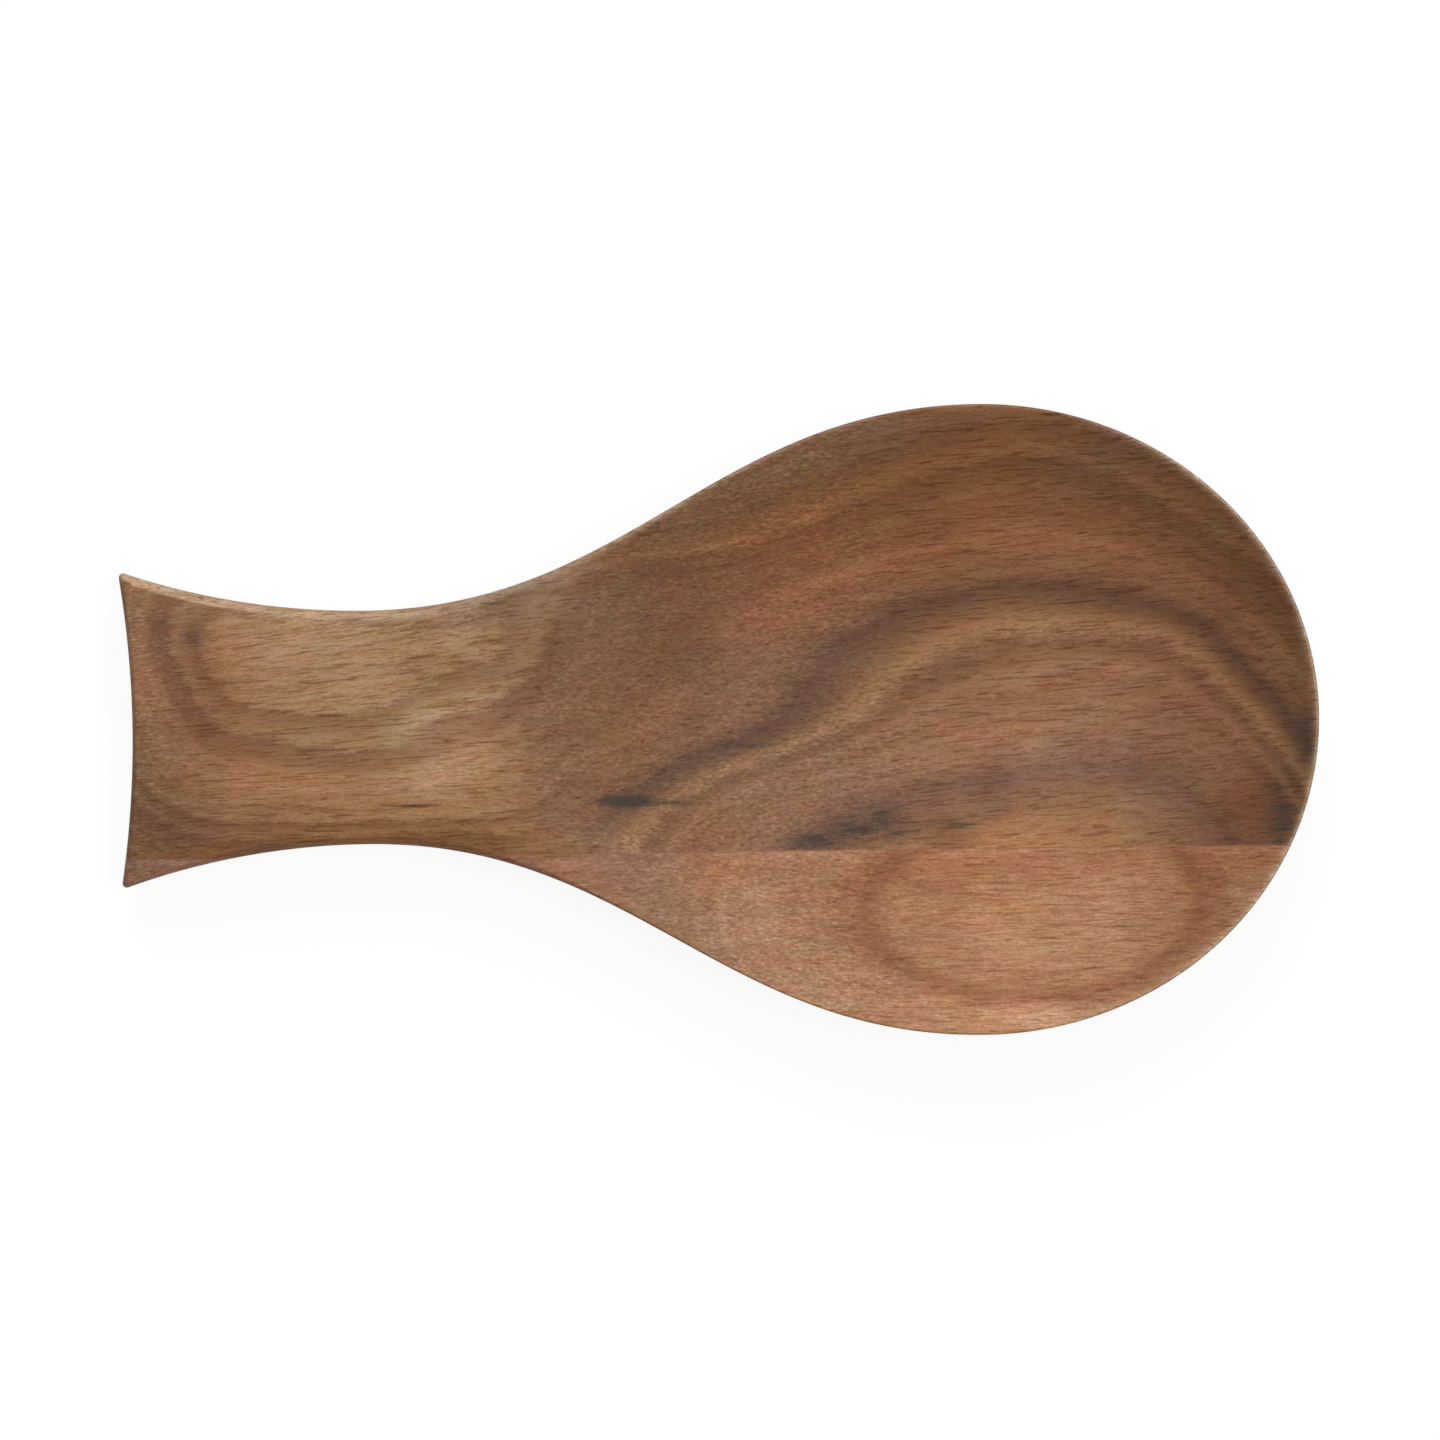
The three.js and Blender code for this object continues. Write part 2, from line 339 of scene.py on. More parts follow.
# the blank sawn at flat cuts; the sawn faces are closed and their edges stay crisp
def sawPiece(name, cuts):
    build = bmesh.new()
    build.from_mesh(blankSkin)
    for axis, place, kept in cuts:
        point, normal = [0, 0, 0], [0, 0, 0]
        point[axis], normal[axis] = place, kept
        everything = build.verts[:] + build.edges[:] + build.faces[:]
        cut = bmesh.ops.bisect_plane(
            build,
            geom=everything,
            dist=mergeDistance,
            plane_co=point,
            plane_no=normal,
            clear_inner=True,
        )
        sawn = [part for part in cut["geom_cut"] if isinstance(part, bmesh.types.BMEdge)]
        for edge in sawn:
            edge.smooth = False
        bmesh.ops.holes_fill(build, edges=sawn)
    for face in build.faces:
        face.smooth = True
    mesh = bpy.data.meshes.new(name)
    build.to_mesh(mesh)
    build.free()
    piece = bpy.data.objects.new(name, mesh)
    bpy.context.scene.collection.objects.link(piece)
    return piece


wideStave = sawPiece("wideStave", [farOfGlue])
narrowStaveBowl = sawPiece("narrowStaveBowl", [nearOfGlue, bowlSide])
narrowStaveTail = sawPiece("narrowStaveTail", [nearOfGlue, tailSide])
glueLineBowl = sawPiece("glueLineBowl", withinGlue + [bowlSide])
glueLineTail = sawPiece("glueLineTail", withinGlue + [tailSide])
bpy.data.meshes.remove(blankSkin)
print("stage: staves sawn apart")

# What one unit of a change adds to the logarithms of red, green and blue.
# A darker fibre is redder too, because it holds more oil.
changes = {
    "darkness": (-0.66, -0.94, -1.39),
    "redness": (0.4, -0.6, -0.1),
    "gold": (0.2, 0.2, -0.8),
    "oil": (-1.0, -1.0, -1.0),
    "chalk": (0.9, 1.1, 1.3),
    "dust": (-0.4, 0.2, 1.0),
}

# How each stave lay in its log, in row-frame millimetres. The yearly layers are sheets that
# lean by a rise per millimetre, bow, twist and bulge a little, so the carving cuts them into bands
# and rings. Fibres run along them.
wideLog = {
    "lean": (-0.025, 0.2),  # along and across
    "middle": (0.0, 0.0),
    "bow": (-0.73, -2.8),  # in mm at these reaches along and across, from the middle
    "bowReach": (100.0, 50.0),
    "twist": 1.6,  # in mm at both reaches
    # bulges: middle, reach along and across, and height
    "bulges": [
        ((50, 0), (45, 30), 3.3),
        ((-20, 30), (20, 12), -3.0),
        ((70, 60), (30, 20), -2.0),
        ((10, 0), (30, 12), 2.1),
        ((-70, -10), (20, 20), 1.5),
        ((30, 40), (45, 12), 0.9),
        ((-78, 14), (22, 9), 0.8),
        ((33, 15), (10, 7), 0.3),
        ((95, 17), (14, 10), -0.9),
        ((-108, 9), (8, 10), -0.5),
        ((-55, 5), (12, 7), -0.4),
    ],
    "fibreSlope": 0.065,  # sideways per millimetre along
    "fibreFan": (-75.0, 35.0, 0.12),  # where the fibres spread most, over what reach, and how much
    "fibreRise": (52.5, 0.0022),  # where the fibres start to sweep up to the tip, and how much
    "fibreFall": (-95.0, 0.0072),  # where they start to follow the tail's droop, and how much
    # soft patches: middle, reach along and across, and how the colour changes there
    "patches": [
        ((-117, -16), (4, 8), {"darkness": -0.26}),
        ((-115, 11), (5, 11), {"darkness": -0.3, "redness": 0.14, "gold": 0.12}),
        ((-113, -3), (8, 3), {"darkness": 0.1}),
        ((-109, 5), (5, 7), {"darkness": -0.2, "redness": 0.06}),
        ((-108, -19), (12, 5), {"gold": -0.28}),
        ((-101, 0), (14, 5), {"darkness": 0.2}),
        ((-100, 13), (9, 9), {"darkness": 0.25, "redness": 0.14, "gold": 0.06}),
        ((-96, -15), (14, 8), {"darkness": 0.12}),
        ((-92, -22), (10, 3), {"gold": -0.2}),
        ((-86, 2), (26, 14), {"darkness": 0.06}),
        ((-69, 8), (8, 3), {"redness": 0.07}),
        ((-68, 23), (28, 3.5), {"darkness": -0.22}),
        ((-66, -3), (16, 8), {"darkness": -0.2, "redness": -0.06}),
        ((-59, 11), (9, 4), {"darkness": 0.22}),
        ((-57, 1), (8, 4), {"darkness": -0.24, "redness": -0.05}),
        ((-56, -8), (9, 12), {"darkness": -0.2}),
        ((-53, 20), (7, 5), {"darkness": -0.14}),
        ((-46, 6), (6, 11), {"darkness": -0.2, "redness": -0.03}),
        ((-45, 18), (3.5, 6), {"darkness": 0.2}),
        ((-42, 22), (4, 4), {"darkness": 0.1, "dust": 0.06}),
        ((-40, 16), (3, 5), {"darkness": -0.15}),
        ((-36, -25), (8, 4), {"gold": 0.15}),
        ((-34, -3), (5, 8), {"darkness": 0.2, "gold": -0.08}),
        ((-33.5, 18), (1.6, 7), {"darkness": 0.34}),
        ((-33, -18), (7, 5), {"darkness": 0.16, "gold": -0.2}),
        ((-33, 26), (17, 7), {"darkness": -0.03, "redness": -0.14, "gold": -0.36}),
        ((-29, 2), (11, 16), {"darkness": 0.17}),
        ((-27, -22), (12, 4), {"darkness": -0.42}),
        ((-20, 4), (10, 13), {"gold": 0.12}),
        ((-18, -4), (7, 3), {"darkness": 0.14}),
        ((-10, -14), (5, 3), {"darkness": 0.14}),
        ((-9, 38), (8, 4), {"darkness": -0.12, "gold": -0.15}),
        ((-6, 26), (7, 7), {"darkness": -0.1, "redness": 0.12}),
        ((-4, 13), (7, 9), {"darkness": 0.38, "redness": -0.12, "gold": -0.1}),
        ((0, -21), (13, 5), {"redness": 0.1, "gold": 0.18}),
        ((3, 32), (8, 5), {"darkness": -0.16}),
        ((4, 5), (7, 6), {"darkness": -0.15}),
        ((17, 38), (17, 8), {"darkness": -0.15, "redness": 0.14, "gold": 0.18}),
        ((18, 22), (12, 7), {"darkness": -0.1, "redness": 0.12, "gold": 0.2}),
        ((32, 57), (9, 5), {"redness": -0.1, "gold": -0.2}),
        ((40, 25), (20, 6), {"darkness": 0.15}),
        ((46, -24), (6, 4), {"darkness": 0.5, "redness": -0.08, "gold": -0.28}),
        ((47, 57), (13, 7), {"darkness": 0.25, "gold": -0.12}),
        ((48, 34), (11, 6), {"darkness": 0.25, "redness": -0.04}),
        ((51, 11), (9, 9), {"darkness": 0.25, "redness": -0.07, "gold": -0.1}),
        ((55, -16), (5, 6), {"darkness": 0.3, "redness": -0.08, "gold": -0.2}),
        ((62, -6), (5, 4), {"darkness": -0.1}),
        ((70, -9), (13, 6), {"darkness": -0.22}),
        ((70, 46), (8, 4), {"darkness": -0.15}),
        ((76, 52), (13, 8), {"redness": -0.08, "gold": -0.4}),
        ((78, 5), (8, 6), {"darkness": -0.2}),
        ((84, -16), (12, 5), {"darkness": -0.3, "gold": 0.1}),
        ((90, 36), (10, 5), {"darkness": -0.12}),
        ((92, 5), (24, 34), {"darkness": -0.08}),
        ((94, 10), (12, 15), {"redness": 0.11, "gold": 0.08}),
        ((100, -20), (9, 9), {"redness": 0.1, "gold": 0.22}),
        ((102, 22), (6, 4), {"darkness": 0.12}),
        ((106, 34), (10, 14), {"gold": -0.22}),
        ((108, -17), (7, 8), {"darkness": 0.48, "redness": 0.12}),
        ((108, -1), (6, 9), {"darkness": -0.15, "redness": 0.05, "gold": 0.12}),
        ((111.6, -11), (0.8, 1.4), {"darkness": -0.3}),
        ((112.7, -13), (0.8, 1.4), {"darkness": -0.3}),
        ((113, 14), (5, 8), {"redness": -0.1}),
        ((113.8, -15), (0.8, 1.4), {"darkness": -0.3}),
        ((114.9, -17), (0.8, 1.4), {"darkness": -0.3}),
        ((118, -1), (4, 8), {"dust": 0.14}),
    ],
    # near-black heart streaks: middle, half-length, half-width, half-depth and strength
    "streaks": [
        ((-111.5, 20.5, 16.8), (2.0, 1.6, 3.0), 0.7),
        ((-105.0, 19.0, 17.8), (2.6, 3.0, 3.0), 0.8),
        ((-61.0, -15.8, 18.6), (5.5, 0.4, 3.0), 1.2),
        ((-19.0, -15.5, 16.1), (6.5, 1.3, 3.0), 1.7),
        ((-9.7, -15.8, 15.0), (4.5, 0.6, 3.0), 1.2),
        ((5.5, -4.5, 12.3), (5.5, 0.7, 3.0), 1.2),
        ((18.5, -24.0, 11.2), (7.0, 2.1, 3.0), 1.05),
        ((26.0, -22.4, 10.1), (7.5, 3.6, 3.0), 0.95),
        ((33.5, -20.8, 9.1), (7.0, 4.0, 3.0), 0.95),
        ((46.0, -21.0, 8.6), (8.0, 2.2, 3.0), 0.5),
        ((111.5, -15.0, 17.5), (1.7, 4.0, 3.0), 0.8),
        ((113.0, -21.0, 18.4), (5.0, 7.0, 3.5), 1.1),
        ((117.5, -4.0, 18.6), (3.5, 7.0, 3.0), 0.85),
    ],
}
narrowLog = {
    "lean": (-0.064, 0.214),
    "middle": (60.0, -40.0),
    "bow": (0.43, 3.88),
    "bowReach": (50.0, 25.0),
    "twist": -0.39,
    "bulges": [],
    "fibreSlope": 0.0,
    "fibreFan": (-75.0, 35.0, 0.0),
    "fibreRise": (52.5, 0.0022),
    "fibreFall": (-95.0, 0.0072),
    "patches": [
        ((-9, -41), (6, 5), {"darkness": 0.16}),
        ((-2, -29), (8, 6), {"darkness": 0.06, "redness": 0.14, "gold": 0.2}),
        ((15, -33), (8, 5), {"darkness": 0.15}),
        ((22, -37), (8, 4), {"darkness": 0.08, "redness": 0.06}),
        ((38, -46), (9, 7), {"redness": -0.06, "gold": -0.1}),
        ((45, -30), (40, 2.5), {"darkness": 0.15, "redness": 0.08, "gold": 0.05}),
        ((47, -35), (8, 4), {"darkness": 0.22}),
        ((61, -46), (8, 5), {"darkness": -0.14, "redness": -0.07}),
        # painted highlight: the inner slope by the near rim, which faces the far lamp, is made much paler
        ((64, -59), (14, 3.5), {"darkness": -0.55}),
        ((77, -49), (7, 7), {"darkness": -0.15}),
        ((80, -36), (8, 5), {"darkness": -0.2}),
        ((88, -42), (22, 14), {"darkness": -0.1}),
        ((106, -28), (8, 4), {"darkness": 0.14, "redness": 0.12, "gold": 0.15}),
    ],
    "streaks": [],
}
handleEnd = (-45.0, -10.0)  # the wide stave's handle colours fade out between these
# The dish was cut across the fibre and the handle sanded along it. They meet in an arc, given by
# its foremost point, how far it falls back at a reach beside that, and the width of the change.
# The tail's droop was cut the other way, from one place to another, and tore a share as much.
crease = {
    "tip": (-38.5, -4.0),
    "fallBack": 6.0,
    "reach": 25.0,
    "width": 2.5,
    "tail": (-100.0, -92.0),
    "tailShare": 0.5,
}


# 1 in the middle of a spot, falling as exp(-distance^2), with the distance counted in reaches
def softSpot(place, middle, reach):
    return np.exp(-(((place - middle) / reach) ** 2).sum(1))


# writes each point's place in the log, in marks of the mesh.
# Layer: height + lean * place + bow * (place / reach)^2 + twist * both, and the bulges' soft spots.
# Fibre: the place drawn in by 1 - fan * tanh(place / reach) and turned by the slope, with its
# height swept down or up by the square of the way past a start.
# Patch: the sum of the soft spots' changes of colour. Heart: the strongest streak's soft spot.
# Carved: 0 on the handle, 1 past the crease's arc, below 0 on the tail, which was cut the other way.
def layInLog(piece, log):
    flat = np.empty(len(piece.data.vertices) * 3)
    piece.data.vertices.foreach_get("co", flat)
    place = flat.reshape(-1, 3) * mmPerMetre
    plan = place[:, :2]
    x, y, z = place.T
    along = (x - log["middle"][0]) / log["bowReach"][0]
    across = (y - log["middle"][1]) / log["bowReach"][1]
    layer = z + log["lean"][0] * x + log["lean"][1] * y
    layer += log["bow"][0] * along ** 2 + log["bow"][1] * across ** 2 + log["twist"] * along * across
    for middle, reach, height in log["bulges"]:
        layer += height * softSpot(plan, middle, reach)

    fanMiddle, fanReach, fan = log["fibreFan"]
    riseStart, rise = log["fibreRise"]
    fallStart, fall = log["fibreFall"]
    aside = y * (1 - fan * np.tanh((x - fanMiddle) / fanReach)) - log["fibreSlope"] * x
    above = z - rise * np.maximum(0, x - riseStart) ** 2 + fall * np.maximum(0, fallStart - x) ** 2

    patch = np.zeros(place.shape)
    for middle, reach, tints in log["patches"]:
        spot = softSpot(plan, middle, reach)
        for tint, amount in tints.items():
            patch += amount * spot[:, None] * changes[tint]
    heart = np.zeros(len(place))
    for middle, halves, strength in log["streaks"]:
        heart = np.maximum(heart, strength * softSpot(place, middle, halves))

    tipX, tipY = crease["tip"]
    arc = tipX + crease["fallBack"] * ((y - tipY) / crease["reach"]) ** 2
    carved = smoothRise(x, arc, arc + crease["width"])
    carved -= crease["tailShare"] * (1 - smoothRise(x, *crease["tail"]))

    storeMark(piece.data, "layer", layer)
    storeMark(piece.data, "handle", 1 - smoothRise(x, *handleEnd))
    storeMark(piece.data, "carved", carved)
    storeMark(piece.data, "heart", heart)
    storeMark(piece.data, "patch", patch)
    storeMark(piece.data, "fibre", np.stack([x, aside, above], -1))


layInLog(wideStave, wideLog)
layInLog(narrowStaveBowl, narrowLog)
layInLog(narrowStaveTail, narrowLog)
print("stage: staves laid in their logs")


# sRGB hex to the linear colour that shaders use
def linearColour(hexColour):
    parts = [int(hexColour[i:i + 2], 16) / 255 for i in (1, 3, 5)]
    return [c / 12.92 if c <= 0.04045 else ((c + 0.055) / 1.055) ** 2.4 for c in parts] + [1.0]


# turns a new material or world to nodes, with none in it yet
def startNodes(block):
    block.use_nodes = True
    block.node_tree.nodes.clear()
    return block


# adds a node with its settings and gives one of its outputs; inputs hold plain values or the
# outputs to link from, and stops are places and colours for a ramp
def addNode(block, kind, inputs=None, out=0, stops=(), **settings):
    tree = block.node_tree
    node = tree.nodes.new("ShaderNode" + kind)
    for name, value in settings.items():
        setattr(node, name, value)
    for socket, value in (inputs or {}).items():
        if isinstance(value, bpy.types.NodeSocket):
            tree.links.new(value, node.inputs[socket])
        else:
            node.inputs[socket].default_value = value
    for i, (place, colour) in enumerate(stops):
        element = node.color_ramp.elements[i] if i < 2 else node.color_ramp.elements.new(place)
        element.position, element.color = place, colour
    return node.outputs[out] if len(node.outputs) else node


mixFactor, mixFirst, mixSecond, mixOut = 0, 6, 7, 2  # sockets of a Mix of colours
rangeSockets = ("Value", "From Min", "From Max", "To Min", "To Max")

# Noise stretched along the fibre, in millimetres: cell length, cell width and detail.
# Real pores are about 0.2 mm wide; they are drawn a little coarser so that they show.
acaciaGrain = {
    "cloud": (28.0, 7.0, 2.0),
    "red": (8.0, 2.6, 2.0),
    "gold": (9.0, 3.0, 2.0),
    "band": (13.0, 1.5, 2.0),
    "thread": (3.2, 0.42, 1.0),
    "fleck": (0.8, 0.42, 1.0),
    "pore": (3.4, 0.36, 0.0),
    "vessel": (8.0, 0.36, 0.0),
    "speck": (1.2, 0.42, 2.0),
}
grainStep = (7.3, 3.1, 5.7)  # each noise is shifted this much from the one before, to look unlike it
noiseSpan = (0.25, 0.75)  # nearly all of a noise lies between these
noiseMiddle = 0.5
tornSpan = (0.03, 0.12)  # slopes against the fibre at which it begins to tear and is all torn

# How the marks change the colour: a mark's span, which way it counts at the start and at the end
# of that, and what it changes. Each wood has its own strengths.
acaciaMarks = {
    "cloud": (noiseSpan, (1, -1), "darkness"),
    "lines": (noiseSpan, (1, -1), "darkness"),
    "band": (noiseSpan, (1, -1), "darkness"),
    "thread": (noiseSpan, (1, -1), "darkness"),
    "fleck": (noiseSpan, (1, -1), "darkness"),
    "pore": ((0.63, 0.7), (0, 1), "darkness"),
    "vessel": ((0.66, 0.7), (0, 1), "darkness"),
    "red": (noiseSpan, (-1, 1), "redness"),
    "gold": (noiseSpan, (-1, 1), "gold"),
    "endGrain": ((0, 0.45), (0, 1), "oil"),
    "torn": (tornSpan, (0, 1), "dust"),
    "speck": ((-0.25, 0.25), (-1, 1), "chalk"),
}

# The finish that both woods share
oilFinish = {
    "lineDetail": 2.0,
    "untornSpecks": 0.25,  # share of the specks that shows where nothing is torn
    "dashSpan": (0.04, 0.16),  # slopes against the fibre over which the pores' dashes are lost
    "dashLoss": -0.1,
    # colour and share of the pale edge: wear, and on the handle's far side a painted highlight as well
    "wornAndSheenColour": "#b7997c",
    "wornAndSheenDepth": 0.72,
    "heartSpan": (0.3, 1.1),
    "poreSpan": (0.4, 0.7),
    "roughness": (0.51, 0.67),  # between the pores and in them
    "poreDepth": 0.00006,  # metres
    "poreRelief": 0.35,
    "ior": 1.46,
    "specularLevel": 0.3,
}


# Oiled acacia, carved and sanded: bands of yearly layers, long dark pores along the fibre, pale
# specks in their place where the cut ran against the fibre and tore it, end grain that drinks oil
# and darkens, and edges painted pale, as wear and along the handle's far side as a painted highlight too.
# The oil leaves a satin gloss.
def oiledAcacia(name, wood):
    material = startNodes(bpy.data.materials.new(name))
    mark = {}
    for key in ("layer", "handle", "carved", "wornAndSheen"):
        mark[key] = addNode(material, "Attribute", out="Fac", attribute_name=key)
    fibre = addNode(material, "Attribute", out="Vector", attribute_name="fibre")
    for i, (key, (length, width, detail)) in enumerate(acaciaGrain.items()):
        shift = [step * i for step in grainStep]
        stretch = (1 / length, 1 / width, 1 / width)
        place = addNode(material, "Mapping", {"Vector": fibre, "Location": shift, "Scale": stretch})
        noise = {"Vector": place, "Scale": 1.0, "Detail": detail}
        mark[key] = addNode(material, "TexNoise", noise, out="Fac")

    # layers with frayed edges, coloured one way in the bowl and another along the handle
    frayed = mark["layer"]
    for key, depth in wood["fray"].items():
        fringe = addNode(material, "MapRange", {"Value": mark[key], "To Min": -depth, "To Max": depth})
        frayed = addNode(material, "Math", {0: frayed, 1: fringe}, operation="ADD")
    tones = []
    for layers in wood["layers"]:
        first, last = layers[0][0], layers[-1][0]
        stops = [((place - first) / (last - first), linearColour(colour)) for place, colour in layers]
        way = addNode(material, "MapRange", {"Value": frayed, "From Min": first, "From Max": last})
        tones.append(addNode(material, "ValToRGB", {"Fac": way}, stops=stops))
    blend = {mixFactor: mark["handle"], mixFirst: tones[0], mixSecond: tones[-1]}
    tone = addNode(material, "Mix", blend, out=mixOut, data_type="RGBA")

    # edges painted pale, as wear and on the handle's far side as a painted highlight too; there oil,
    # heart and soft patches show less
    wornAndSheenShare = addNode(material, "Math", {0: mark["wornAndSheen"], 1: oilFinish["wornAndSheenDepth"]}, operation="MULTIPLY")
    kept = addNode(material, "Math", {0: 1.0, 1: wornAndSheenShare}, operation="SUBTRACT")
    blend = {mixFactor: wornAndSheenShare, mixFirst: tone, mixSecond: linearColour(oilFinish["wornAndSheenColour"])}
    tone = addNode(material, "Mix", blend, out=mixOut, data_type="RGBA")

    # finer growth lines within the layers
    lines = addNode(material, "Math", {0: frayed, 1: 1 / wood["lineSpacing"]}, operation="MULTIPLY")
    noise = {"W": lines, "Scale": 1.0, "Detail": oilFinish["lineDetail"]}
    mark["lines"] = addNode(material, "TexNoise", noise, out="Fac", noise_dimensions="1D")
    # end grain, where the surface turns towards the fibre's ends, and fibre torn by the cut there
    normal = addNode(material, "TexCoord", out="Normal")
    lean = addNode(material, "SeparateXYZ", {0: normal}, out="X")
    steep = addNode(material, "Math", {0: lean}, operation="ABSOLUTE")
    mark["endGrain"] = addNode(material, "Math", {0: steep, 1: kept}, operation="MULTIPLY")
    mark["torn"] = addNode(material, "Math", {0: lean, 1: mark["carved"]}, operation="MULTIPLY")
    # torn fibres stand up as pale specks
    values = (mark["torn"], *tornSpan, oilFinish["untornSpecks"], 1.0)
    share = addNode(material, "MapRange", dict(zip(rangeSockets, values)))
    centred = addNode(material, "Math", {0: mark["speck"], 1: noiseMiddle}, operation="SUBTRACT")
    mark["speck"] = addNode(material, "Math", {0: centred, 1: share}, operation="MULTIPLY")
    # pores show as dashes only where the surface isn't torn
    values = (mark["torn"], *oilFinish["dashSpan"], 0.0, oilFinish["dashLoss"])
    lost = addNode(material, "MapRange", dict(zip(rangeSockets, values)))
    for key in ("pore", "vessel"):
        mark[key] = addNode(material, "Math", {0: mark[key], 1: lost}, operation="ADD")

    # every mark changes the colour by a logarithm, and these add up
    patch = addNode(material, "Attribute", out="Vector", attribute_name="patch")
    total = addNode(material, "VectorMath", {0: patch, "Scale": kept}, operation="SCALE")
    for key, (span, (low, high), change) in acaciaMarks.items():
        strength = wood["figure"][key]
        values = (mark[key], *span, low * strength, high * strength)
        amount = addNode(material, "MapRange", dict(zip(rangeSockets, values)))
        step = addNode(material, "VectorMath", {0: changes[change], "Scale": amount}, operation="SCALE")
        total = addNode(material, "VectorMath", {0: total, 1: step}, operation="ADD")
    factors = {}
    for axis in "XYZ":
        power = addNode(material, "SeparateXYZ", {0: total}, out=axis)
        factors[axis] = addNode(material, "Math", {0: power}, operation="EXPONENT")
    factor = addNode(material, "CombineXYZ", factors)
    coloured = addNode(material, "VectorMath", {0: tone, 1: factor}, operation="MULTIPLY")

    # near-black heartwood, ragged along the fibre
    if "heart" in wood:
        heart = wood["heart"]
        ragged = addNode(material, "Attribute", out="Fac", attribute_name="heart")
        for key, depth in heart["fray"].items():
            values = (mark[key], *noiseSpan, -depth, depth)
            fringe = addNode(material, "MapRange", dict(zip(rangeSockets, values)))
            ragged = addNode(material, "Math", {0: ragged, 1: fringe}, operation="ADD")
        values = (ragged, *oilFinish["heartSpan"], 0.0, heart["depth"])
        dark = addNode(material, "MapRange", dict(zip(rangeSockets, values)))
        dark = addNode(material, "Math", {0: dark, 1: kept}, operation="MULTIPLY")
        blend = {mixFactor: dark, mixFirst: coloured, mixSecond: linearColour(heart["colour"])}
        coloured = addNode(material, "Mix", blend, out=mixOut, data_type="RGBA")

    values = (mark["pore"], *oilFinish["poreSpan"], *oilFinish["roughness"])
    rough = addNode(material, "MapRange", dict(zip(rangeSockets, values)))
    grooves = {
        "Height": mark["pore"],
        "Strength": oilFinish["poreRelief"],
        "Distance": oilFinish["poreDepth"],
    }
    surface = addNode(material, "BsdfPrincipled", {
        "Base Color": coloured,
        "Roughness": rough,
        "IOR": oilFinish["ior"],
        "Specular IOR Level": oilFinish["specularLevel"],
        "Normal": addNode(material, "Bump", grooves, invert=True),
    })
    addNode(material, "OutputMaterial", {"Surface": surface})
    return material


wideWood = {
    # layer in mm and colour, in the bowl and along the handle
    "layers": [
        [
            (2.6, "#b07b4e"), (4.6, "#916544"), (6.3, "#77513c"), (8.4, "#986a49"),
            (11.2, "#936543"), (11.8, "#885d3d"), (12.6, "#9f7149"), (13.8, "#6c472e"),
            (14.35, "#6b462d"), (15.0, "#885a39"), (17.0, "#96623d"), (18.2, "#875631"),
            (20.6, "#754924"), (21.6, "#87582f"), (22.6, "#8a5b32"), (23.8, "#7a4f2a"),
            (26.4, "#906543"),
        ],
        [
            (12.6, "#966842"), (15.3, "#7f5430"), (15.9, "#956b43"), (16.6, "#845932"),
            (17.3, "#a1764f"), (20.4, "#a1744e"), (21.7, "#805639"), (22.15, "#976f4a"),
            (22.8, "#886040"), (23.1, "#9b7550"), (24.0, "#9f7a56"),
        ],
    ],
    "fray": {"cloud": 0.25, "band": 0.28, "thread": 0.2, "fleck": 0.12},  # in mm
    "lineSpacing": 0.8,  # in mm
    # how strongly each mark shows
    "figure": {
        "cloud": 0.1, "lines": 0.15, "band": 0.2, "thread": 0.15, "fleck": 0.2, "pore": 0.4,
        "vessel": 0.58, "red": 0.1, "gold": 0.14, "endGrain": 0.84, "torn": 0.05, "speck": 0.42,
    },
    "heart": {
        "colour": "#2d2117",
        "depth": 0.92,
        "fray": {"band": 0.3, "thread": 0.3, "fleck": 0.2},
    },
}
narrowWood = {
    "layers": [
        [
            (-0.6, "#af7d57"), (1.25, "#a26f49"), (1.8, "#a6744d"), (2.3, "#a16d46"),
            (2.7, "#8e5935"), (3.05, "#8d5835"), (3.5, "#996440"), (4.3, "#a6754e"),
            (8.3, "#af7e5b"), (12.5, "#9b7150"), (15.5, "#96674c"), (24.0, "#956d52"),
        ],
    ],
    "fray": {"cloud": 0.2, "band": 0.22, "thread": 0.18, "fleck": 0.1},
    "lineSpacing": 0.7,
    "figure": {
        "cloud": 0.08, "lines": 0.1, "band": 0.2, "thread": 0.21, "fleck": 0.26, "pore": 0.3,
        "vessel": 0.42, "red": 0.1, "gold": 0.12, "endGrain": 0.5, "torn": 0.06, "speck": 0.36,
    },
}
wideAcacia = oiledAcacia("oiledAcaciaDark", wideWood)
narrowAcacia = oiledAcacia("oiledAcaciaLight", narrowWood)

# Cured wood glue, sanded flush: a thin brown film, a little glossier than the wood
glue = {
    "blotch": 2.0,  # mm
    "blotchDetail": 2.0,
    "tones": ((0.35, "#7c4f33"), (0.65, "#96613f")),
    "roughness": 0.45,
    "ior": 1.48,
    "specularLevel": 0.3,
}
glueFilm = startNodes(bpy.data.materials.new("curedWoodGlue"))
glueNoise = {
    "Vector": addNode(glueFilm, "TexCoord", out="Object"),
    "Scale": mmPerMetre / glue["blotch"],
    "Detail": glue["blotchDetail"],
}
glueBlotches = addNode(glueFilm, "TexNoise", glueNoise, out="Fac")
glueStops = [(place, linearColour(colour)) for place, colour in glue["tones"]]
glueShader = addNode(glueFilm, "BsdfPrincipled", {
    "Base Color": addNode(glueFilm, "ValToRGB", {"Fac": glueBlotches}, stops=glueStops),
    "Roughness": glue["roughness"],
    "IOR": glue["ior"],
    "Specular IOR Level": glue["specularLevel"],
})
addNode(glueFilm, "OutputMaterial", {"Surface": glueShader})
print("stage: materials made")

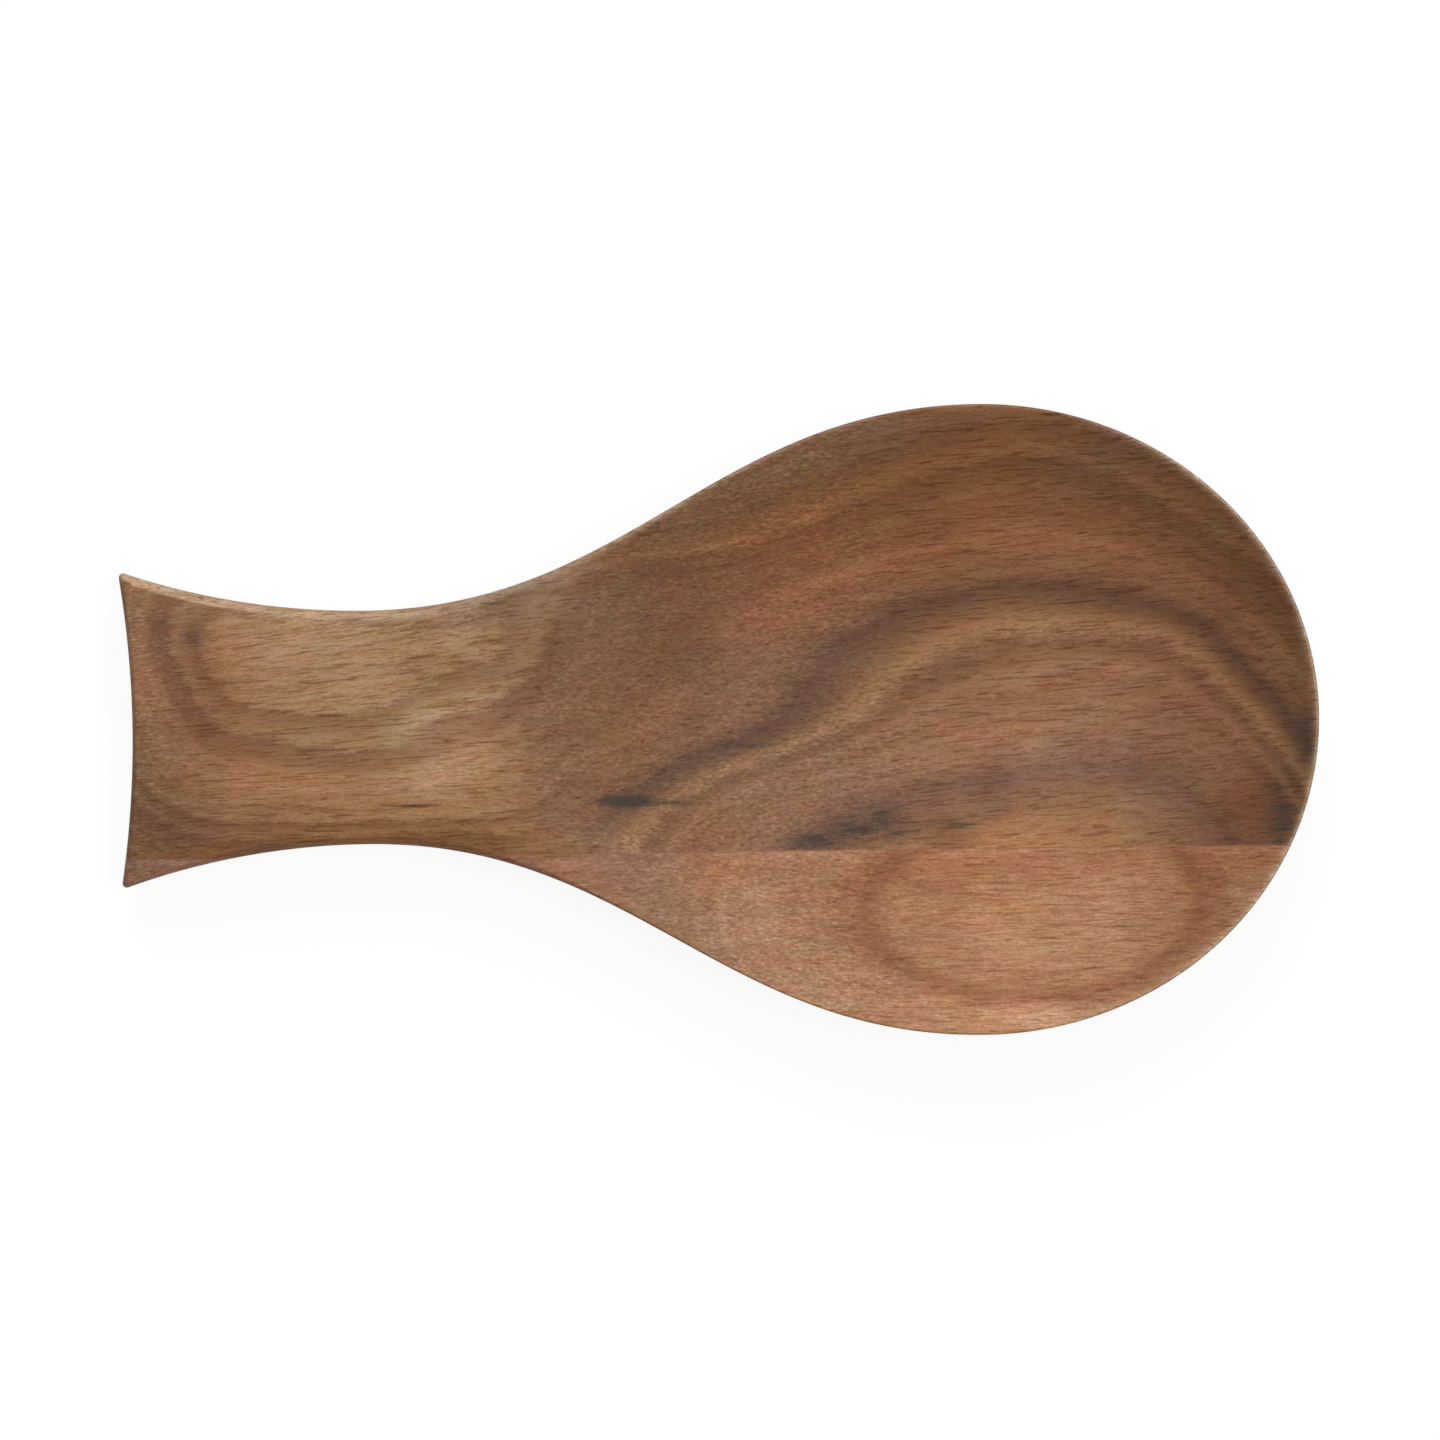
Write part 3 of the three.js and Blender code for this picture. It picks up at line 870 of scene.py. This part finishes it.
for piece, node, slot, material in [
    (wideStave, "main_stave", "main_stave_wood", wideAcacia),
    (narrowStaveBowl, "side_stave_bowl", "side_stave_wood", narrowAcacia),
    (narrowStaveTail, "side_stave_tail", "side_stave_wood", narrowAcacia),
    (glueLineBowl, "glue_line_bowl", "wood_glue", glueFilm),
    (glueLineTail, "glue_line_tail", "wood_glue", glueFilm),
]:
    piece.data.materials.append(material)
    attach(piece, "root")
    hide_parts(node)
    print("piece", piece.name, len(piece.data.polygons), "faces")

# Camera straight above, soft daylight from the far side, a white table
studio = {
    "lens": 180.0,
    "sensorWidth": 36.0,  # mm, as the lens
    "clip": (0.01, 20.0),  # metres, as what follows
    "frameWidth": 0.288,  # metres seen at the aim's height
    "aim": (0.000351, 0.000561, 0.017),
    "turn": -0.0129,
    "skyLevel": 0.34,
    # lamps: what each adds on a level white surface, its size, distance, elevation,
    # and azimuth from +X
    "lamps": {
        "farWindow": (0.42, 1.6, 2.4, 42.0, 95.0),
        "overheadSoftbox": (0.28, 0.8, 2.2, 68.0, 0.0),
    },
    "tableHalf": 6.0,
    "tableDrop": 0.0003,  # keeps the table clear of the base
    "tableColour": "#f7f7f7",
    "plainLevel": 1.03,
    "plainShare": 0.88,  # how much of the table is seen as plain white
}
scene = bpy.context.scene
scene.view_settings.view_transform = "Standard"

lensData = bpy.data.cameras.new("camera")
lensData.lens = studio["lens"]
lensData.sensor_width = studio["sensorWidth"]
lensData.clip_start, lensData.clip_end = studio["clip"]
camera = bpy.data.objects.new("camera", lensData)
standOff = studio["frameWidth"] * studio["lens"] / studio["sensorWidth"]
aimX, aimY, aimZ = studio["aim"]
camera.location = (aimX, aimY, aimZ + standOff)
camera.rotation_euler = (0, 0, studio["turn"])
scene.collection.objects.link(camera)
scene.camera = camera

# a lamp of P watts gives P / (pi * distance^2) to a facing surface, and white sends back 1 / pi
# of that
for name, (level, size, distance, elevation, azimuth) in studio["lamps"].items():
    elevation, azimuth = math.radians(elevation), math.radians(azimuth)
    lampData = bpy.data.lights.new(name, "AREA")
    lampData.shape = "SQUARE"
    lampData.size = size
    lampData.energy = level * math.pi ** 2 * distance ** 2 / math.sin(elevation)
    lamp = bpy.data.objects.new(name, lampData)
    lamp.location = distance * np.array([
        math.cos(elevation) * math.cos(azimuth),
        math.cos(elevation) * math.sin(azimuth),
        math.sin(elevation),
    ])
    lamp.rotation_euler = (-lamp.location).to_track_quat("-Z", "Y").to_euler()
    scene.collection.objects.link(lamp)

sky = startNodes(bpy.data.worlds.new("studioSky"))
# White laminate table: mostly seen as plain white, with the object's soft shadow left on it
table = startNodes(bpy.data.materials.new("whiteLaminate"))
seen = {}
for surroundings in (sky, table):
    shown = 0.0
    for ray in ("Is Camera Ray", "Is Glossy Ray", "Is Transmission Ray"):
        isRay = addNode(surroundings, "LightPath", out=ray)
        shown = addNode(surroundings, "Math", {0: shown, 1: isRay}, operation="MAXIMUM")
    seen[surroundings.name] = shown
level = addNode(sky, "MapRange", {"Value": seen[sky.name], "To Min": studio["skyLevel"], "To Max": 1.0})
skyLight = addNode(sky, "Background", {"Color": (1, 1, 1, 1), "Strength": level})
addNode(sky, "OutputWorld", {"Surface": skyLight})
scene.world = sky

plain = addNode(table, "Math", {0: seen[table.name], 1: studio["plainShare"]}, operation="MULTIPLY")
matte = addNode(table, "BsdfDiffuse", {"Color": linearColour(studio["tableColour"])})
white = addNode(table, "Emission", {"Color": (1, 1, 1, 1), "Strength": studio["plainLevel"]})
addNode(table, "OutputMaterial", {"Surface": addNode(table, "MixShader", {0: plain, 1: matte, 2: white})})

half, drop = studio["tableHalf"], studio["tableDrop"]
corners = [(-half, -half, -drop), (half, -half, -drop), (half, half, -drop), (-half, half, -drop)]
floorMesh = bpy.data.meshes.new("table")
floorMesh.from_pydata(corners, [], [(0, 1, 2, 3)])
floorMesh.materials.append(table)
floor = bpy.data.objects.new("table", floorMesh)
scene.collection.objects.link(floor)
print("stage: camera, light and table set")
